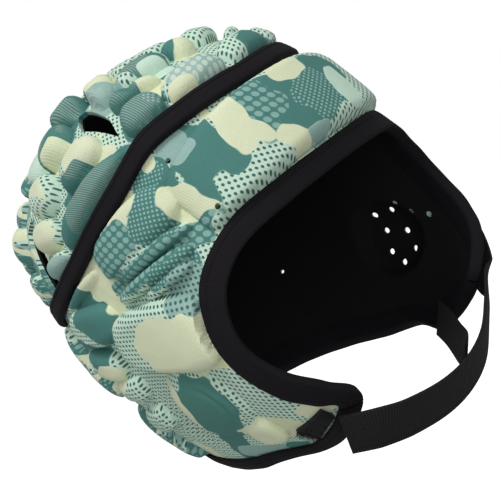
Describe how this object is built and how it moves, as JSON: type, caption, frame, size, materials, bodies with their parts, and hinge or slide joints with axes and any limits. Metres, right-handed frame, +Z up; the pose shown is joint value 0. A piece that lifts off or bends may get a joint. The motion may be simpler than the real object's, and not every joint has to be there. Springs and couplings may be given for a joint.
{
  "type": "rugby scrum cap",
  "caption": "Padded soft headgear with cut crown vents, ear domes, cheek flaps and a fabric chin strap, in a dotted camouflage print with black binding.",
  "frame": {"origin": "point of the lining that rests on top of the wearer's head", "axes": "+Z up out of the top of the head, -Y the way the face looks, +X to the wearer's left"},
  "size_m": [0.1972, 0.2135, 0.2476],
  "materials": {
    "printed_knit": "matte stretch knit over foam, teal, mint and cream print",
    "black_lining": "matte black knit",
    "black_tape": "matte black folded tape",
    "black_webbing": "matte black woven webbing"
  },
  "bodies": {
    "root": {"wrap_panel": "printed_knit", "crown_panel": "printed_knit", "wrap_lining": "black_lining", "crown_lining": "black_lining", "crown_tape": "black_tape", "face_binding": "black_tape", "neck_binding": "black_tape", "chin_strap": "black_webbing", "strap_inner_layer": "black_webbing", "hook_patch": "black_webbing"}
  },
  "joints": []
}
